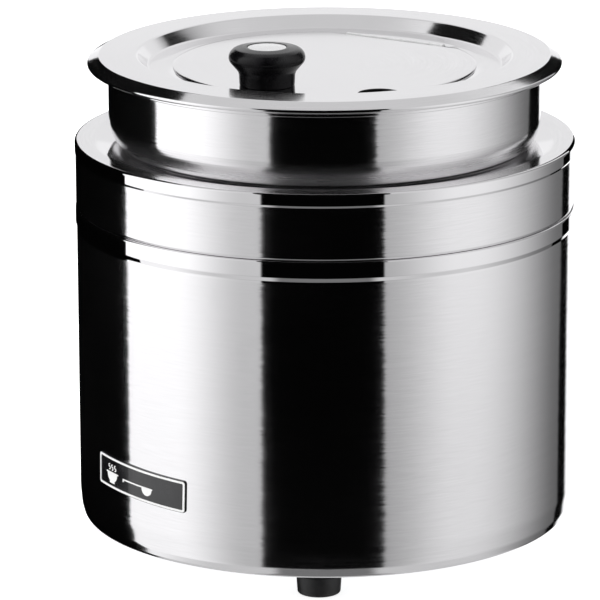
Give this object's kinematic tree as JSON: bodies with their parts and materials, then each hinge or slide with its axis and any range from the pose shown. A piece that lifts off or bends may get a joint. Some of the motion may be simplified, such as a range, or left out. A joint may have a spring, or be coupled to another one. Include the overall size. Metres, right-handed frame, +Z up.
{
  "type": "soup kettle",
  "caption": "Round electric countertop soup kettle: steel casing with a water well, lift-out pot, domed-edge lid with a hinged flap and black knob, rear thermostat dial.",
  "frame": {"origin": "on the bench plane under the feet, on the casing's upright axis", "axes": "+Z up, -Y to the front where the badge is, +X to the right as seen from the front"},
  "size_m": [0.3418, 0.3447, 0.3605],
  "materials": {
    "casing_steel": "stainless sheet with a fine grain running round the casing, semi-bright",
    "well_steel": "drawn stainless sheet, satin",
    "pot_steel": "drawn stainless sheet with a fine grain running round the neck, bright",
    "lid_steel": "drawn stainless sheet, near mirror with faint turned marks",
    "hinge_steel": "rolled stainless strip",
    "galvanised_steel": "galvanised sheet, dull",
    "zinc_fasteners": "zinc plated steel",
    "bright_trim": "bright plated",
    "foot_rubber": "black moulded rubber, dull",
    "insulation": "glass wool blanket",
    "spreader_aluminium": "cast aluminium disc, dull",
    "element_sheath": "heat stained tube",
    "insulator_ivory": "moulded insulator, dull",
    "black_plastic": "moulded nylon, dull",
    "copper": "bare copper tube",
    "brass": "turned brass",
    "amber_lens": "clear amber moulding",
    "wire_brown": "smooth wire sleeve",
    "wire_black": "smooth wire sleeve",
    "wire_red": "smooth wire sleeve",
    "wire_blue": "smooth wire sleeve",
    "wire_green": "smooth wire sleeve",
    "wire_grey": "smooth wire sleeve",
    "badge_black": "gloss black",
    "badge_white": "raised white enamel",
    "index_red": "printed red mark",
    "knob_black": "polished black phenolic moulding"
  },
  "bodies": {
    "casing": {"outer_shell": "casing_steel", "shoulder_cap": "casing_steel", "water_well": "well_steel", "insulation_sleeve": "insulation", "base_plate": "galvanised_steel", "base_screws": "zinc_fasteners", "foot_front_right": "foot_rubber", "foot_rear_right": "foot_rubber", "foot_rear_left": "foot_rubber", "foot_front_left": "foot_rubber", "foot_screws": "zinc_fasteners", "foot_nuts": "zinc_fasteners", "heat_spreader": "spreader_aluminium", "heating_element": "element_sheath", "element_ends": "insulator_ivory", "element_clamp": "galvanised_steel", "clamp_stud": "zinc_fasteners", "clamp_nut": "zinc_fasteners", "thermal_cutout": "black_plastic", "cutout_screws": "zinc_fasteners", "thermostat_body": "insulator_ivory", "thermostat_screws": "zinc_fasteners", "capillary_tube": "copper", "sensor_bulb": "copper", "bulb_clips": "galvanised_steel", "lamp_bezel": "bright_trim", "lamp_lens": "amber_lens", "lamp_holder": "black_plastic", "gland_body": "black_plastic", "gland_nut": "black_plastic", "gland_locknut": "black_plastic", "terminal_block": "insulator_ivory", "terminal_screws": "brass", "earth_stud": "brass", "earth_nut": "brass", "wire_live": "wire_brown", "wire_link": "wire_black", "wire_switched": "wire_red", "wire_neutral": "wire_blue", "wire_earth": "wire_green", "wire_lamp": "wire_grey", "badge_plate": "badge_black", "badge_border": "badge_white", "badge_emblem": "badge_white", "dial_index": "index_red"},
    "pot": {"food_pot": "pot_steel"},
    "lid": {"lid_pan": "lid_steel", "hinge_fixed_leaf": "hinge_steel", "hinge_pin": "hinge_steel"},
    "flap": {"flap_plate": "lid_steel", "hinge_flap_leaf": "hinge_steel", "lid_knob": "knob_black", "knob_cap": "bright_trim", "knob_screw": "zinc_fasteners", "knob_washer": "zinc_fasteners"},
    "dial": {"dial_skirt": "knob_black", "dial_grip": "knob_black", "dial_pointer": "badge_white", "thermostat_spindle": "zinc_fasteners"}
  },
  "joints": [
    {"name": "pot_lift", "type": "slide", "parent": "casing", "child": "pot", "axis": [0, 0, 1], "range_m": [0, 0.18]},
    {"name": "lid_lift", "type": "slide", "parent": "pot", "child": "lid", "axis": [0, 0, 1], "range_m": [0, 0.08]},
    {"name": "flap_hinge", "type": "hinge", "parent": "lid", "child": "flap", "pos_m": [-0.02491, 0.08804, 0.333], "axis": [-0.9622, -0.2723, 0], "range_deg": [0, 140]},
    {"name": "dial_turn", "type": "hinge", "parent": "casing", "child": "dial", "pos_m": [-0.13377, 0.12044, 0.062], "axis": [0.7431, -0.6691, 0], "range_deg": [0, 270]}
  ]
}
